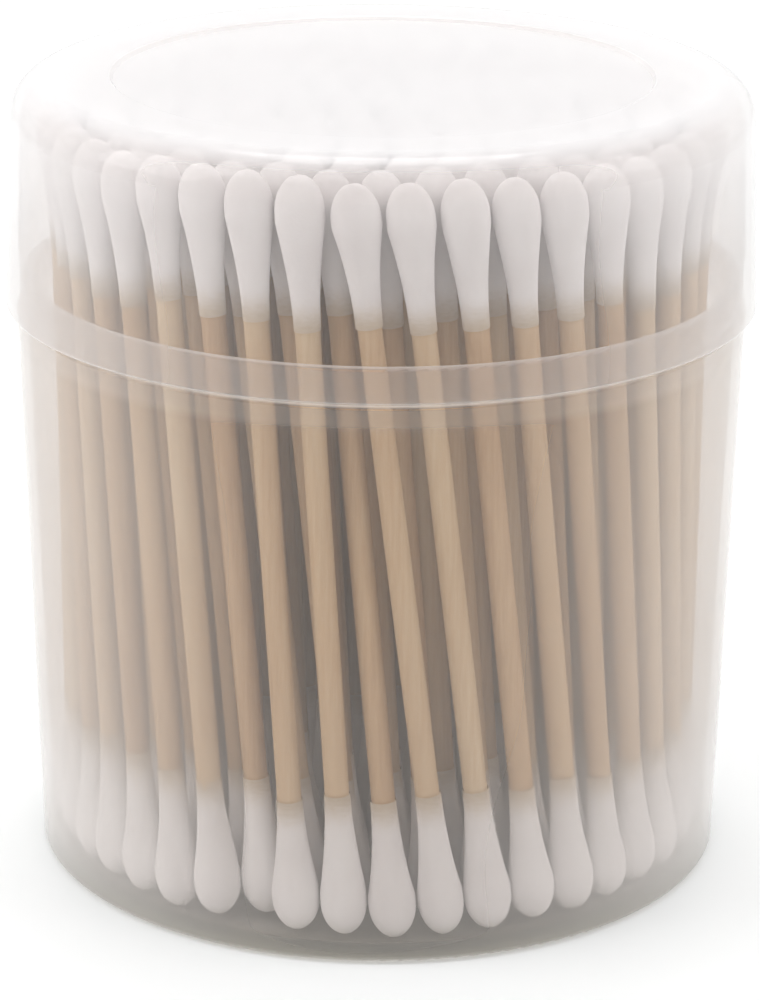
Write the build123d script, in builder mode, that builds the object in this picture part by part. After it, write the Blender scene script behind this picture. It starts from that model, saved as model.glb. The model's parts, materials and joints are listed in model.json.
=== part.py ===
"""Round cotton swab tub: a milky plastic tub, a push-on lid and the swabs that stand in it.

All sizes are in millimetres.  +Z is up, the origin is the centre of the tub's base, and
bearings run anticlockwise seen from above, with 0 at the front (-Y).
"""
from build123d import *
from math import atan2, cos, floor, hypot, pi, radians, sin
from random import Random
import os

# ---- overall sizes
overall_height = 80.0
base_radius = 35.1            # outside of the tub at the table
shoulder_radius = 36.6        # outside of the tub under the lid
mouth_radius = 37.7           # outside of the lid at its lower edge
crown_radius = 36.8           # outside of the lid's wall, carried up to the top

# ---- tub
tub_wall = 1.1
floor_top = 1.0               # the swabs stand on this
foot_recess = 0.2             # hollow under the floor
foot_ring_width = 1.8
base_edge_round = 0.7
inside_base_round = 1.6
shoulder_height = 56.95       # the ledge under the lid
neck_height = 3.5             # neck above the ledge
ledge_width = 0.75
ledge_round = 0.3
neck_wall = 1.0
neck_rim_round = 0.3

# ---- lid
lid_wall = 1.2
lid_plate = 1.1
lid_corner_round = 4.0
lid_edge_round = 0.3
panel_radius = 27.0           # round sunk panel in the lid's top
panel_depth = 0.4
panel_round = 0.25
grip_height = 4.2             # thicker band that grips the neck
grip_slope = 0.9
lid_fit = 0.3                 # radial room between the grip band and the neck
lid_seat_gap = 0.55           # height of the seam between the lid and the ledge

# ---- one swab
swab_length = 76.0
stick_diameter = 2.5
bud_diameter = 4.6
bud_length = 13.0
bud_taper_start = 4.2         # from here up the bud narrows towards the stick
bud_neck_diameter = 2.95      # cotton where it ends on the stick
bud_cap = 3.0                 # cotton beyond the stick's end
stick_play = 0.03             # radial room between stick and cotton

# ---- how the swabs stand
swab_gap = 0.15               # least room between neighbours
wall_gap = 0.2                # least room to the tub and the lid
floor_gap = 0.1
row_room = 0.0                # between rows, beyond a bud's width
place_room = 0.35             # between swabs of a row, beyond a bud's width
head_flare = 0.3              # how much further out the heads stand than the feet
row_turn = 14.0               # degrees that each foot is ahead of its head
turn_spread = 3.0             # random part of that, inner rows
head_spread = 0.5             # random shift of a head, inner rows
lift_spread = 0.6             # highest that a foot is held off the floor
front_bearing = -5.0          # head of the outer row's first swab
# turns of the outer row's front swabs, from the sixth left of the first to the seventh right
front_turns = [16.0, 15.0, 15.0, 12.0, 10.0, 9.0, 15.5, 15.0, 14.0, 14.0, 13.0, 13.0, 13.0, 13.0]
front_left_count = 6
pushed_in_place = -3          # outer row swab whose foot is pushed back into the second row
pushed_in_by = 2.3
stray_bearing = 3.0           # second row foot that comes forward into the outer row
settling_rounds = 400
layout_seed = 11

# ---- sizes that follow
wall_draft = (shoulder_radius - base_radius) / shoulder_height
neck_radius = shoulder_radius - ledge_width
neck_bore = neck_radius - neck_wall
neck_rim = shoulder_height + neck_height
lid_foot = shoulder_height + lid_seat_gap
lid_draft = (mouth_radius - crown_radius) / (overall_height - lid_foot)
ceiling = overall_height - panel_depth - lid_plate
bud_radius = bud_diameter / 2
stick_radius = stick_diameter / 2
stick_length = swab_length - 2 * bud_cap
row_pitch = bud_diameter + row_room
place_width = bud_diameter + place_room
widest_bud = (bud_radius + bud_taper_start) / 2   # from a bud's tip to its widest place


def tub_outside(height):
    """Outer radius of the tub's wall at a height."""
    return base_radius + wall_draft * height


def lid_outside(height):
    """Outer radius of the lid's wall at a height."""
    return mouth_radius - lid_draft * (height - lid_foot)


def corner(profile, radius, height):
    """The profile's corner nearest to a radius and height."""
    return profile.vertices().sort_by_distance((radius, height))[0]


def make_tub():
    """Tub: drafted wall, floor with a foot ring, ledge and neck, turned from one section."""
    inner_ledge = shoulder_height - 1.6 * ledge_width
    inner_wall_top = inner_ledge - ledge_width
    foot_inner = base_radius - foot_ring_width
    wall_top = tub_outside(inner_wall_top) - tub_wall
    wall_foot = tub_outside(floor_top) - tub_wall
    with BuildPart() as tub:
        with BuildSketch(Plane.XZ) as section:
            with BuildLine():
                Polyline(
                    (0, foot_recess),
                    (foot_inner - foot_recess, foot_recess),
                    (foot_inner, 0),
                    (base_radius, 0),
                    (shoulder_radius, shoulder_height),
                    (neck_radius, shoulder_height),
                    (neck_radius, neck_rim),
                    (neck_bore, neck_rim),
                    (neck_bore, inner_ledge),
                    (wall_top, inner_wall_top),
                    (wall_foot, floor_top),
                    (0, floor_top),
                    close=True,
                )
            make_face()
            fillet(corner(section, base_radius, 0), base_edge_round)
            fillet(corner(section, wall_foot, floor_top), inside_base_round)
            fillet(corner(section, shoulder_radius, shoulder_height), ledge_round)
            fillet(corner(section, neck_radius, neck_rim), neck_rim_round)
            fillet(corner(section, neck_bore, neck_rim), neck_rim_round)
        revolve(axis=Axis.Z)
    tub.part.label = "tub"
    return tub.part


def make_lid():
    """Lid: rounded crown with a sunk panel, drafted skirt and a grip band at its mouth."""
    grip_bore = neck_radius + lid_fit
    grip_top = lid_foot + grip_height
    skirt_bore = lid_outside(grip_top + grip_slope) - lid_wall
    crown_bore = lid_outside(ceiling) - lid_wall
    panel_foot = overall_height - panel_depth
    with BuildPart() as lid:
        with BuildSketch(Plane.XZ) as section:
            with BuildLine():
                Polyline(
                    (0, ceiling),
                    (crown_bore, ceiling),
                    (skirt_bore, grip_top + grip_slope),
                    (grip_bore, grip_top),
                    (grip_bore, lid_foot),
                    (mouth_radius, lid_foot),
                    (crown_radius, overall_height),
                    (panel_radius, overall_height),
                    (panel_radius - panel_depth, panel_foot),
                    (0, panel_foot),
                    close=True,
                )
            make_face()
            fillet(corner(section, crown_radius, overall_height), lid_corner_round)
            fillet(corner(section, crown_bore, ceiling), lid_corner_round - lid_wall)
            fillet(corner(section, mouth_radius, lid_foot), lid_edge_round)
            fillet(corner(section, grip_bore, lid_foot), lid_edge_round)
            fillet(corner(section, panel_radius, overall_height), panel_round)
        revolve(axis=Axis.Z)
    lid.part.label = "lid"
    return lid.part


def make_bud():
    """Cotton bud, tip at the origin and stick side up, bored for the stick's end."""
    bore = stick_radius + stick_play
    with BuildPart() as bud:
        with BuildSketch(Plane.XZ):
            with BuildLine():
                CenterArc((0, bud_radius), bud_radius, -90, 90)
                Polyline(
                    (bud_radius, bud_radius),
                    (bud_radius, bud_taper_start),
                    (bud_neck_diameter / 2, bud_length),
                    (bore, bud_length),
                    (bore, bud_cap),
                    (0, bud_cap),
                    (0, 0),
                )
            make_face()
        revolve(axis=Axis.Z)
    return bud.part


def make_stick():
    """Plain round wooden stick, standing on the origin."""
    with BuildPart() as stick:
        Cylinder(stick_radius, stick_length, align=(Align.CENTER, Align.CENTER, Align.MIN))
    return stick.part


class Swab:
    """Where one swab stands: the plan positions of its foot and head, and its lift."""

    def __init__(self, row, foot_radius, foot_bearing, head_radius, head_bearing, lift):
        self.row = row
        self.foot = plan_point(foot_radius, foot_bearing)
        self.head = plan_point(head_radius, head_bearing)
        self.lift = lift

    def at(self, share):
        """Plan position at a share of the swab's length, from foot to head."""
        return [self.foot[i] + (self.head[i] - self.foot[i]) * share for i in (0, 1)]

    def shift(self, share, move):
        """Push the swab sideways at a share of its length."""
        weight = share * share + (1 - share) * (1 - share)
        for i in (0, 1):
            self.foot[i] += move[i] * (1 - share) / weight
            self.head[i] += move[i] * share / weight

    def axis(self):
        """Foot tip and unit direction towards the head."""
        across = [self.head[i] - self.foot[i] for i in (0, 1)]
        rise = (swab_length**2 - across[0] ** 2 - across[1] ** 2) ** 0.5
        tip = Vector(self.foot[0], self.foot[1], floor_top + floor_gap + self.lift)
        return tip, Vector(across[0], across[1], rise).normalized()


def plan_point(radius, bearing):
    """Plan position at a radius and bearing."""
    return [radius * sin(radians(bearing)), -radius * cos(radians(bearing))]


def bearing_of(point):
    """Bearing of a plan position in degrees."""
    return atan2(point[0], -point[1]) * 180 / pi


def row_limits():
    """Greatest radius that a foot and a head can stand at, inside the tub, its neck and the lid."""
    foot_limit = tub_outside(floor_top) - tub_wall - wall_gap - bud_radius
    lid_limit = lid_outside(ceiling) - lid_wall - wall_gap - bud_radius
    neck_limit = neck_bore - wall_gap - stick_radius
    return foot_limit, min(lid_limit, neck_limit)


def plan_rows():
    """First places of all the swabs, in rings from the wall inwards."""
    chance = Random(layout_seed)
    foot_limit, head_limit = row_limits()
    foot_row = min(foot_limit, head_limit)
    head_row = min(head_limit, foot_row + head_flare)
    rows = floor((foot_row - bud_radius / 2) / row_pitch) + 1
    swabs = []
    for row in range(rows):
        foot_radius = foot_row - row * row_pitch
        head_radius = head_row - row * row_pitch
        count = max(1, floor(2 * pi * head_radius / place_width))
        for place in range(count):
            step = place if place <= count / 2 else place - count
            bearing = front_bearing + 360 / count * step + 4.5 * row
            lift = lift_spread * chance.random()
            if row == 0:
                turn = outer_turn(step)
                set_back = pushed_in_by if step == pushed_in_place else 0.0
                swabs.append(
                    Swab(row, foot_radius - set_back, bearing + turn, head_radius, bearing, lift)
                )
                continue
            turn = row_turn + chance.uniform(-turn_spread, turn_spread)
            swab = Swab(row, foot_radius, bearing + turn, head_radius, bearing, lift)
            swab.head[0] += chance.uniform(-head_spread, head_spread)
            swab.head[1] += chance.uniform(-head_spread, head_spread)
            swabs.append(swab)
    second_row = [swab for swab in swabs if swab.row == 1]
    stray = min(second_row, key=lambda swab: abs(bearing_of(swab.foot) - stray_bearing))
    stray.foot = plan_point(foot_row, stray_bearing)
    return swabs


def outer_turn(step):
    """Turn of an outer row swab, counted from the first swab."""
    place = step + front_left_count
    if 0 <= place < len(front_turns):
        return front_turns[place]
    return row_turn


def settle(swabs):
    """Push the swabs apart until none overlaps another, the tub or the lid."""
    bud_level = widest_bud / swab_length
    taper_level = 0.6 * bud_length / swab_length
    levels = [
        (bud_level, bud_diameter),
        (taper_level, 0.85 * bud_diameter),
        (0.3, stick_diameter),
        (0.5, stick_diameter),
        (0.7, stick_diameter),
        (1 - taper_level, 0.85 * bud_diameter),
        (1 - bud_level, bud_diameter),
    ]
    foot_limit, head_limit = row_limits()
    for _ in range(settling_rounds):
        near = near_pairs(swabs)
        for _ in range(3):
            for first, second in near:
                part_pair(first, second, levels)
            for swab in swabs:
                keep_inside(swab, bud_level, foot_limit)
                keep_inside(swab, 1 - bud_level, head_limit)
        if tightest(near, levels) >= swab_gap * 0.9:
            break
    print("swabs:", len(swabs), "least gap:", round(tightest(near_pairs(swabs), levels), 3))


def near_pairs(swabs):
    """Pairs that stand close enough to meet."""
    reach = 2 * bud_diameter
    pairs = []
    for i, first in enumerate(swabs):
        for second in swabs[i + 1:]:
            for share in (0.0, 0.5, 1.0):
                here, there = first.at(share), second.at(share)
                if hypot(there[0] - here[0], there[1] - here[1]) < reach:
                    pairs.append((first, second))
                    break
    return pairs


def part_pair(first, second, levels):
    """Move two swabs apart wherever they stand closer than their widths."""
    for share, width in levels:
        here, there = first.at(share), second.at(share)
        gap = [there[0] - here[0], there[1] - here[1]]
        distance = hypot(gap[0], gap[1])
        short = width + swab_gap - distance
        if short > 0 and distance > 0:
            push = [gap[0] / distance * short / 2, gap[1] / distance * short / 2]
            first.shift(share, [-push[0], -push[1]])
            second.shift(share, push)


def keep_inside(swab, share, limit):
    """Bring a swab back inside a radius at one level."""
    point = swab.at(share)
    radius = hypot(point[0], point[1])
    if radius > limit:
        back = (limit - radius) / radius
        swab.shift(share, [point[0] * back, point[1] * back])


def tightest(pairs, levels):
    """Least room left between two swabs."""
    room = 1e9
    for first, second in pairs:
        for share, width in levels:
            here, there = first.at(share), second.at(share)
            room = min(room, hypot(there[0] - here[0], there[1] - here[1]) - width)
    return room


def copies(shape, planes, label):
    """The same piece at each plane, as one group of separate solids."""
    with BuildPart() as group:
        with Locations(*planes):
            add(shape, clean=False)
    group.part.label = label
    return group.part


def make_rows():
    """Sticks, top buds and bottom buds of each row."""
    bud = make_bud()
    stick = make_stick()
    swabs = plan_rows()
    settle(swabs)
    pieces = []
    for row in range(swabs[-1].row + 1):
        axes = [swab.axis() for swab in swabs if swab.row == row]
        feet = [Plane(origin=tip, z_dir=way) for tip, way in axes]
        sticks = [Plane(origin=tip + way * bud_cap, z_dir=way) for tip, way in axes]
        heads = [Plane(origin=tip + way * swab_length, z_dir=-way) for tip, way in axes]
        pieces.append(copies(stick, sticks, f"sticks_row_{row + 1}"))
        pieces.append(copies(bud, heads, f"top_buds_row_{row + 1}"))
        pieces.append(copies(bud, feet, f"bottom_buds_row_{row + 1}"))
    return pieces


os.makedirs("parts", exist_ok=True)
for piece in [make_tub(), make_lid()] + make_rows():
    export_step(piece, f"parts/{piece.label}.step")
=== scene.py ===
"""Looks of the cotton swab tub: milky tub and lid, wooden sticks and wound cotton buds."""
import bpy
import bmesh
import json
import math
import random
import numpy as np
from mathutils import Matrix, Vector

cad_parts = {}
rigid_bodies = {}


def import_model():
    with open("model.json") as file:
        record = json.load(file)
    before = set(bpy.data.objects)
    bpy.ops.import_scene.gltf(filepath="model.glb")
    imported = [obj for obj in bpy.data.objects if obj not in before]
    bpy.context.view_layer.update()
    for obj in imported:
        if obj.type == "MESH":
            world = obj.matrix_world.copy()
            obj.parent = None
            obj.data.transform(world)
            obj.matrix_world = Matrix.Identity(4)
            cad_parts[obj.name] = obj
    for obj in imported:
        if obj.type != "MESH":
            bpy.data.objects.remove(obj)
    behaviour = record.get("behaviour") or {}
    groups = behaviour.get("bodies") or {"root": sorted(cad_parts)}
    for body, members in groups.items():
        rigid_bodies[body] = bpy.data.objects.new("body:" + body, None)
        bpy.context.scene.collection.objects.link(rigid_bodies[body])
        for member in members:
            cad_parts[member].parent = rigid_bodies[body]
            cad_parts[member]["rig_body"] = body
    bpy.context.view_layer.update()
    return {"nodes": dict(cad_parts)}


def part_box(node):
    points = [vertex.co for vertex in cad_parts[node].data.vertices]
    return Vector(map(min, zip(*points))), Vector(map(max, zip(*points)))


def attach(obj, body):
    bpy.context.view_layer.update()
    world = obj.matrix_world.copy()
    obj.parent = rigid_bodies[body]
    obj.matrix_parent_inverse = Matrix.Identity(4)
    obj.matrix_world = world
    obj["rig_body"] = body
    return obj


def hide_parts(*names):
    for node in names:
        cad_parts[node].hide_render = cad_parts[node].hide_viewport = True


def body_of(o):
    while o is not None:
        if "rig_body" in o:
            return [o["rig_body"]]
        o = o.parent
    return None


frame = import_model()

ROWS = 7                      # rings of swabs, the outer one first

# view
CAMERA_DISTANCE = 0.3600      # from the tub's axis, level
CAMERA_HEIGHT = 0.1606
CAMERA_PITCH = math.radians(19.19)
CAMERA_ROLL = 0.0070
FOCAL_LENGTH = 133.7

# light
WORLD_HORIZON = 0.29          # strength of the sky at the horizon
WORLD_ZENITH = 1.58           # and overhead
FLOOR_COLOUR = (0.76, 0.77, 0.77)
FLOOR_LIFT = 0.12             # glow that the eye sees on the floor, which makes it white

# plastic
CLEAR_TINT = (0.988, 0.971, 0.963)    # milky plastic passes warm light and scatters the rest
GLOSS_ROUGHNESS = 0.12
PLASTIC_IOR = 1.33

# swabs
STICK_SIDES = 20
STICK_STEPS = 14
STICK_RADIUS = 0.00125
STICK_END_DEPTH = 0.0006      # depth that holds every point of a tilted stick's flat end
BUD_SIDES = 28
BUD_STEPS = 22
COTTON_LENGTH = 0.0146
COTTON_RADIUS = 0.00240
COTTON_CAP = 0.0030           # cotton past the stick's end
NECK_RADIUS = 0.00130


# ---------------------------------------------------------------- node helpers

class Nodes:
    """Short way to build the node tree of a material or a world."""

    def __init__(self, owner, output_kind="ShaderNodeOutputMaterial"):
        owner.use_nodes = True
        self.owner = owner
        self.tree = owner.node_tree
        self.tree.nodes.clear()
        self.output = self.tree.nodes.new(output_kind)

    def new(self, kind, **settings):
        """A node; settings are attributes, or input sockets by name with _ for spaces."""
        node = self.tree.nodes.new(kind)
        for key, value in settings.items():
            if hasattr(node, key):
                setattr(node, key, value)
            else:
                node.inputs[key.replace("_", " ")].default_value = value
        return node

    def link(self, start, end):
        self.tree.links.new(start, end)

    def feed(self, value, socket):
        """Link an output to a socket, or set the socket to a number."""
        if isinstance(value, (int, float)):
            socket.default_value = value
        else:
            self.link(value, socket)

    def maths(self, operation, first, second, clamp=False):
        node = self.new("ShaderNodeMath", operation=operation, use_clamp=clamp)
        self.feed(first, node.inputs[0])
        self.feed(second, node.inputs[1])
        return node.outputs[0]

    def remap(self, value, start, end, smooth=False):
        """Value taken from the range start to the range end."""
        kind = "SMOOTHSTEP" if smooth else "LINEAR"
        node = self.new("ShaderNodeMapRange", interpolation_type=kind)
        self.link(value, node.inputs["Value"])
        node.inputs["From Min"].default_value, node.inputs["From Max"].default_value = start
        node.inputs["To Min"].default_value, node.inputs["To Max"].default_value = end
        return node.outputs[0]

    def blend(self, factor, first, second):
        """Two shaders mixed: the second one's share is the factor."""
        node = self.new("ShaderNodeMixShader")
        self.feed(factor, node.inputs["Fac"])
        self.link(first, node.inputs[1])
        self.link(second, node.inputs[2])
        return node.outputs[0]

    def finish(self, shader):
        self.link(shader, self.output.inputs["Surface"])
        return self.owner

    def noise(self, vector, scale, detail=3.0, roughness=0.5):
        node = self.new("ShaderNodeTexNoise", Scale=scale, Detail=detail, Roughness=roughness)
        self.link(vector, node.inputs["Vector"])
        return node.outputs["Fac"]

    def ramp(self, factor, stops):
        """Colour ramp through (place, colour) stops."""
        node = self.tree.nodes.new("ShaderNodeValToRGB")
        elements = node.color_ramp.elements
        while len(elements) < len(stops):
            elements.new(0.5)
        for element, (place, colour) in zip(elements, stops):
            element.position = place
            element.color = (*colour, 1.0)
        self.link(factor, node.inputs["Fac"])
        return node.outputs["Color"]

    def stretched(self, vector, scale):
        node = self.new("ShaderNodeMapping")
        node.inputs["Scale"].default_value = scale
        self.link(vector, node.inputs["Vector"])
        return node.outputs["Vector"]

    def bump(self, height, strength, distance):
        node = self.new("ShaderNodeBump", Strength=strength, Distance=distance)
        self.link(height, node.inputs["Height"])
        return node.outputs["Normal"]


    def both_faces(self, share, front):
        """Share of milk that a wall's two faces have between them, put on the front face alone."""
        clear = self.maths("SUBTRACT", 1.0, share)
        total = self.maths("SUBTRACT", 1.0, self.maths("MULTIPLY", clear, clear))
        return self.maths("MULTIPLY", total, front)

    def seen_directly(self):
        """1 for rays from the eye, in reflections and through clear plastic, 0 for other rays."""
        path = self.new("ShaderNodeLightPath").outputs
        eye = self.maths("MAXIMUM", path["Is Camera Ray"], path["Is Transmission Ray"])
        return self.maths("MAXIMUM", eye, path["Is Glossy Ray"])


def cotton_material():
    """Wound cotton wool: matt, slightly translucent, with fine fibres, thin where it ends."""
    n = Nodes(bpy.data.materials.new("wound_cotton"))
    place = n.new("ShaderNodeTexCoord").outputs["Object"]
    fibres = n.noise(n.stretched(place, (1.0, 1.0, 3.2)), 1500.0, 2.0, 0.6)
    clumps = n.noise(place, 260.0, 1.0)
    shade = n.new("ShaderNodeMix", data_type="FLOAT")
    shade.inputs[0].default_value = 0.35
    n.link(clumps, shade.inputs[2])
    n.link(fibres, shade.inputs[3])
    cotton = n.ramp(shade.outputs[0], [(0.25, (0.90, 0.88, 0.88)), (0.7, (0.96, 0.95, 0.95))])
    along = n.new("ShaderNodeAttribute", attribute_name="along").outputs["Fac"]
    ragged = n.maths("ADD", n.maths("MULTIPLY", fibres, 0.12), along)
    wood_through = n.new("ShaderNodeMix", data_type="RGBA")
    wood_through.inputs[7].default_value = (0.66, 0.56, 0.43, 1.0)
    n.link(n.remap(ragged, (0.82, 1.10), (0.0, 1.0), smooth=True), wood_through.inputs[0])
    n.link(cotton, wood_through.inputs[6])
    fluff = n.bump(clumps, 0.4, 0.0004)
    surface = n.new("ShaderNodeBsdfDiffuse", Roughness=0.8)
    glow = n.new("ShaderNodeBsdfTranslucent")
    for shader in (surface, glow):
        n.link(wood_through.outputs[2], shader.inputs["Color"])
        n.link(fluff, shader.inputs["Normal"])
    return n.finish(n.blend(0.10, surface.outputs[0], glow.outputs[0]))


def wood_material():
    """Pale birch: long fine grain, with a lighter or darker tone for each stick."""
    n = Nodes(bpy.data.materials.new("pale_birch"))
    place = n.new("ShaderNodeTexCoord").outputs["Object"]
    grain = n.noise(n.stretched(place, (1.0, 1.0, 0.045)), 2600.0, 2.0, 0.6)
    tone = n.noise(n.stretched(place, (1.0, 1.0, 0.12)), 160.0, 1.0)
    mixed = n.new("ShaderNodeMix", data_type="FLOAT")
    mixed.inputs[0].default_value = 0.4
    n.link(tone, mixed.inputs[2])
    n.link(grain, mixed.inputs[3])
    stick = n.new("ShaderNodeAttribute", attribute_name="stick_tone").outputs["Fac"]
    toned = n.maths("ADD", n.maths("MULTIPLY", stick, 0.35), mixed.outputs[0])
    colour = n.ramp(
        toned,
        [(0.4, (0.485, 0.316, 0.178)), (0.65, (0.605, 0.43, 0.26)), (0.95, (0.69, 0.542, 0.362))],
    )
    shader = n.new("ShaderNodeBsdfPrincipled", Roughness=0.62)
    shader.inputs["Specular IOR Level"].default_value = 0.3
    n.link(colour, shader.inputs["Base Color"])
    return n.finish(shader.outputs[0])


def milky_material(name, clear_share, edge_share, milk_colour, frost, by_slope=False, shade_band=None):
    """Thin milky polypropylene: nearly clear face on, and whiter where the wall turns away.

    frost is (low, high, share): the plastic turns whiter from low to high, up to share. These are
    heights, or by_slope they say how level the face is, from 0 on a wall to 1 on the top.
    The last argument is (height, height, colour): painted shade, the clear colour darkens to that
    colour from the first height down, standing in for the dark seen through a thick base.
    """
    n = Nodes(bpy.data.materials.new(name))
    place = n.new("ShaderNodeTexCoord").outputs["Object"]
    height = n.new("ShaderNodeSeparateXYZ")
    n.link(place, height.inputs[0])
    level = height.outputs["Z"]
    if by_slope:
        slope = n.new("ShaderNodeSeparateXYZ")
        n.link(n.new("ShaderNodeNewGeometry").outputs["Normal"], slope.inputs[0])
        level = n.new("ShaderNodeMath", operation="ABSOLUTE")
        n.link(slope.outputs["Z"], level.inputs[0])
        level = level.outputs[0]
    facing = n.new("ShaderNodeLayerWeight", Blend=0.44).outputs["Facing"]
    veil = n.remap(facing, (0.0, 1.0), (clear_share, edge_share))
    uneven = n.remap(n.noise(place, 60.0, 0.0), (0.0, 1.0), (0.85, 1.15))
    milkiness = n.maths("MULTIPLY", veil, uneven, clamp=True)
    whiter = n.remap(level, frost[:2], (0.0, frost[2]), smooth=True)
    milkiness = n.maths("ADD", milkiness, whiter, clamp=True)
    front = n.maths("SUBTRACT", 1.0, n.new("ShaderNodeNewGeometry").outputs["Backfacing"])
    clear = n.new("ShaderNodeBsdfTransparent", Color=(*CLEAR_TINT, 1.0))
    # Painted shade: towards the bottom the clear colour darkens, standing in for the dark seen
    # through the thick base.
    if shade_band:
        shaded_clear = n.new("ShaderNodeMix", data_type="RGBA")
        shaded_clear.inputs[6].default_value = (*CLEAR_TINT, 1.0)
        shaded_clear.inputs[7].default_value = (*shade_band[2], 1.0)
        n.link(n.remap(height.outputs["Z"], shade_band[:2], (0.0, 1.0), smooth=True), shaded_clear.inputs[0])
        n.link(shaded_clear.outputs[2], clear.inputs["Color"])
    scatter = n.new("ShaderNodeBsdfDiffuse", Color=(*milk_colour, 1.0))
    through = n.new("ShaderNodeBsdfTranslucent", Color=(*milk_colour, 1.0))
    milk = n.blend(0.5, scatter.outputs[0], through.outputs[0])
    body = n.blend(n.both_faces(milkiness, front), clear.outputs[0], milk)
    gloss = n.new("ShaderNodeBsdfGlossy", Roughness=GLOSS_ROUGHNESS, Color=(1.0, 1.0, 1.0, 1.0))
    mirror = n.new("ShaderNodeFresnel", IOR=PLASTIC_IOR).outputs[0]
    return n.finish(n.blend(n.maths("MULTIPLY", mirror, front), body, gloss.outputs[0]))


# ---------------------------------------------------------------- swabs

def loose_parts(node):
    """Vertex positions of each separate solid in a CAD node."""
    mesh = frame["nodes"][node].data
    points = np.array([v.co for v in mesh.vertices], float)
    keys = np.round(points, 7)
    _, merged = np.unique(keys, axis=0, return_inverse=True)
    merged = merged.ravel()
    parent = np.arange(merged.max() + 1)
    edges = np.array([e.vertices for e in mesh.edges], int)
    first, second = merged[edges[:, 0]], merged[edges[:, 1]]
    while True:
        low = np.minimum(parent[first], parent[second])
        new = parent.copy()
        np.minimum.at(new, first, low)
        np.minimum.at(new, second, low)
        new = new[new]
        if np.array_equal(new, parent):
            break
        parent = new
    labels = parent[merged]
    return [points[labels == label] for label in np.unique(labels)]


def stick_axes(node):
    """Foot and head centre of each stick, from its two flat ends."""
    axes = []
    for points in loose_parts(node):
        low, high = points[:, 2].min(), points[:, 2].max()
        foot = points[points[:, 2] < low + STICK_END_DEPTH]
        head = points[points[:, 2] > high - STICK_END_DEPTH]
        axes.append((Vector(ring_centre(foot)), Vector(ring_centre(head))))
    return axes


def ring_centre(points):
    """Centre of a round end's box."""
    return (points.min(0) + points.max(0)) / 2


def frame_on(axis_foot, axis_head):
    """Matrix that stands +Z along an axis, with the origin at its foot."""
    way = (axis_head - axis_foot).normalized()
    turn = Vector((0, 0, 1)).rotation_difference(way).to_matrix().to_4x4()
    return Matrix.Translation(axis_foot) @ turn


def lathe(bm, profile, sides, matrix, mark, wobble=None):
    """Surface turned from (radius, height) points; wobble(angle, height) scales the radius.

    mark(height) is the value that each point keeps for the material.
    """
    layer = bm.verts.layers.float.active
    rings = []
    for radius, height in profile:
        if radius == 0:
            rings.append([bm.verts.new(matrix @ Vector((0, 0, height)))])
            rings[-1][0][layer] = mark(height)
            continue
        ring = []
        for k in range(sides):
            angle = 2 * math.pi * k / sides
            r = radius * (wobble(angle, height) if wobble else 1.0)
            point = Vector((r * math.cos(angle), r * math.sin(angle), height))
            ring.append(bm.verts.new(matrix @ point))
            ring[-1][layer] = mark(height)
        rings.append(ring)
    for below, above in zip(rings, rings[1:]):
        for k in range(sides):
            low = (below[k % len(below)], below[(k + 1) % len(below)])
            high = (above[(k + 1) % len(above)], above[k % len(above)])
            corners = []
            for corner in (*low, *high):
                if corner not in corners:
                    corners.append(corner)
            bm.faces.new(corners)


def bud_profile(tip_radius, length, fullness):
    """Teardrop from the tip to the neck: (radius, height) with the tip at height 0."""
    points = [(0.0, 0.0)]
    for k in range(1, BUD_STEPS + 1):
        t = k / BUD_STEPS
        height = length * (t ** 1.35)
        cap = math.sqrt(max(0.0, 1 - (1 - min(1.0, height / (tip_radius * 1.45))) ** 2))
        fall = min(1.0, max(0.0, (height - 0.30 * length) / (0.70 * length)))
        taper = 1 - (1 - NECK_RADIUS / tip_radius) * (fall ** fullness) * (2 - fall ** fullness)
        points.append((tip_radius * cap * taper, height))
    return points


def make_bud(bm, tip, way, chance):
    """One wound cotton bud, tip first, with its own small unevenness."""
    matrix = frame_on(tip, tip + way) @ Matrix.Rotation(chance.uniform(0, 6.28), 4, "Z")
    radius = COTTON_RADIUS * chance.uniform(0.955, 1.0)
    length = COTTON_LENGTH * chance.uniform(0.93, 1.04)
    lean = chance.uniform(0, 6.28)
    twist = chance.uniform(-300, 300)
    size = chance.uniform(0.012, 0.03)

    def wobble(angle, height):
        slow = math.cos(angle - lean + twist * height)
        fine = math.cos(3 * angle + 2 * lean - 420 * height)
        return 1 + size * (0.6 * slow + 0.4 * fine) - size

    profile = bud_profile(radius, length, chance.uniform(0.9, 1.15))
    lathe(bm, profile, BUD_SIDES, matrix, lambda height: height / length, wobble)


def make_stick(bm, foot, head, chance):
    """One wooden stick, not quite round, with softened ends."""
    length = (head - foot).length
    radius = STICK_RADIUS * chance.uniform(0.96, 1.0)
    profile = [(0.0, 0.0), (radius * 0.9, 0.0)]
    profile += [(radius, length * k / STICK_STEPS) for k in range(1, STICK_STEPS)]
    profile += [(radius * 0.9, length), (0.0, length)]
    lean = chance.uniform(0, 6.28)

    def wobble(angle, height):
        return 1 + 0.02 * math.cos(2 * angle + lean + 90 * height) - 0.02

    tone = chance.random()
    matrix = frame_on(foot, head) @ Matrix.Rotation(lean, 4, "Z")
    lathe(bm, profile, STICK_SIDES, matrix, lambda height: tone, wobble)


def piece_from(bm, name, node, material):
    """A shown piece that stands for a CAD node."""
    bmesh.ops.recalc_face_normals(bm, faces=bm.faces)
    mesh = bpy.data.meshes.new(name)
    bm.to_mesh(mesh)
    bm.free()
    mesh.polygons.foreach_set("use_smooth", [True] * len(mesh.polygons))
    mesh.materials.append(material)
    piece = bpy.data.objects.new(name, mesh)
    bpy.context.scene.collection.objects.link(piece)
    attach(piece, body_of(frame["nodes"][node])[0])
    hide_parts(node)
    return piece


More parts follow.
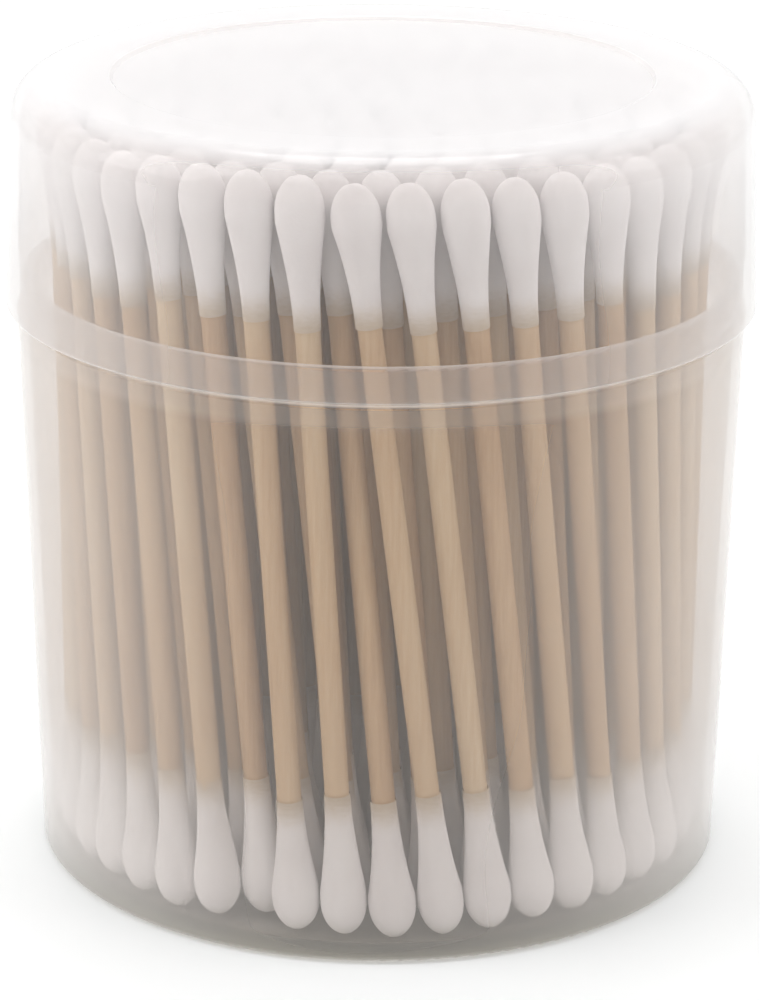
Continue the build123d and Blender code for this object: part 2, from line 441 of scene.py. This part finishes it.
def make_row(row, cotton, wood):
    """Sticks and buds of one row."""
    chance = random.Random(100 + row)
    sticks, tops, bottoms = bmesh.new(), bmesh.new(), bmesh.new()
    sticks.verts.layers.float.new("stick_tone")
    tops.verts.layers.float.new("along")
    bottoms.verts.layers.float.new("along")
    for foot, head in stick_axes(f"sticks_row_{row}"):
        way = (head - foot).normalized()
        make_stick(sticks, foot, head, chance)
        make_bud(tops, head + way * COTTON_CAP, -way, chance)
        make_bud(bottoms, foot - way * COTTON_CAP, way, chance)
    piece_from(sticks, f"wooden_sticks_{row}", f"sticks_row_{row}", wood)
    piece_from(tops, f"cotton_tops_{row}", f"top_buds_row_{row}", cotton)
    piece_from(bottoms, f"cotton_bottoms_{row}", f"bottom_buds_row_{row}", cotton)


# ---------------------------------------------------------------- stage

def make_floor():
    """Pale floor that looks white and keeps the tub's shadow."""
    bm = bmesh.new()
    bmesh.ops.create_grid(bm, x_segments=1, y_segments=1, size=3.0)
    mesh = bpy.data.meshes.new("floor")
    bm.to_mesh(mesh)
    bm.free()
    floor = bpy.data.objects.new("floor", mesh)
    floor.location.z = -0.0002
    bpy.context.scene.collection.objects.link(floor)
    n = Nodes(bpy.data.materials.new("white_floor"))
    shader = n.new("ShaderNodeBsdfDiffuse", Color=(*FLOOR_COLOUR, 1.0))
    lift = n.new("ShaderNodeEmission", Color=(1.0, 1.0, 1.0, 1.0))
    n.link(n.maths("MULTIPLY", n.seen_directly(), FLOOR_LIFT), lift.inputs["Strength"])
    both = n.new("ShaderNodeAddShader")
    n.link(shader.outputs[0], both.inputs[0])
    n.link(lift.outputs[0], both.inputs[1])
    mesh.materials.append(n.finish(both.outputs[0]))


def make_world():
    """Soft light that grows towards the zenith, with a white background for the eye."""
    world = bpy.data.worlds.new("studio")
    bpy.context.scene.world = world
    n = Nodes(world, "ShaderNodeOutputWorld")
    way = n.new("ShaderNodeSeparateXYZ")
    n.link(n.new("ShaderNodeTexCoord").outputs["Generated"], way.inputs[0])
    rising = n.maths("MAXIMUM", way.outputs["Z"], 0.0)
    steep = n.maths("MULTIPLY", rising, rising)
    light = n.new("ShaderNodeBackground", Color=(1.0, 1.0, 1.0, 1.0))
    n.link(n.remap(steep, (0.0, 1.0), (WORLD_HORIZON, WORLD_ZENITH)), light.inputs["Strength"])
    white = n.new("ShaderNodeBackground", Color=(1.0, 1.0, 1.0, 1.0))
    n.finish(n.blend(n.seen_directly(), light.outputs[0], white.outputs[0]))


def make_lamp(name, place, aim, size, power):
    """Square soft lamp."""
    data = bpy.data.lights.new(name, "AREA")
    data.size = size
    data.energy = power
    lamp = bpy.data.objects.new(name, data)
    lamp.location = place
    lamp.rotation_mode = "QUATERNION"
    lamp.rotation_quaternion = (Vector(aim) - Vector(place)).to_track_quat("-Z", "Y")
    bpy.context.scene.collection.objects.link(lamp)


def make_camera():
    """Camera in front of the tub, looking down on it at the same angle as the reference view."""
    data = bpy.data.cameras.new("camera")
    data.lens = FOCAL_LENGTH
    data.sensor_width = 36.0
    data.clip_start = 0.01
    camera = bpy.data.objects.new("camera", data)
    tilt = Matrix.Rotation(math.pi / 2 - CAMERA_PITCH, 4, "X")
    roll = Matrix.Rotation(CAMERA_ROLL, 4, "Z")
    place = Matrix.Translation((0.0, -CAMERA_DISTANCE, CAMERA_HEIGHT))
    camera.matrix_world = place @ tilt @ roll
    bpy.context.scene.collection.objects.link(camera)
    bpy.context.scene.camera = camera


# ---------------------------------------------------------------- build

bpy.context.scene.view_settings.view_transform = "Standard"
for leftover in [o for o in bpy.data.objects if o.type in ("CAMERA", "LIGHT")]:
    bpy.data.objects.remove(leftover)

cotton = cotton_material()
wood = wood_material()
for row in range(1, ROWS + 1):
    make_row(row, cotton, wood)

neck_low, neck_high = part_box("tub")[1].z - 0.0063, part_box("tub")[1].z - 0.0051
milky = {
    "tub": milky_material(
        "milky_tub", 0.05, 0.74, (0.895, 0.87, 0.85),
        # Painted shade: the tub's clear colour darkens to this colour in its lowest 3 mm, standing
        # in for the dark seen through the thick base.
        frost=(neck_low, neck_high, 0.08), shade_band=(0.0030, 0.0004, (0.72, 0.705, 0.66)),
    ),
    "lid": milky_material(
        "milky_lid", 0.055, 0.55, (0.885, 0.885, 0.895), frost=(0.62, 0.98, 0.20), by_slope=True
    ),
}
for node, material in milky.items():
    shell = frame["nodes"][node]
    shell.data.materials.clear()
    shell.data.materials.append(material)

make_floor()
make_world()
make_lamp("left", (-0.60, -0.15, 0.45), (0, 0, 0.04), 0.5, 2.0)
make_lamp("right", (0.60, -0.15, 0.45), (0, 0, 0.04), 0.5, 1.4)
make_lamp("top", (0.0, 0.30, 0.80), (0, 0, 0.06), 0.4, 1.7)
make_camera()
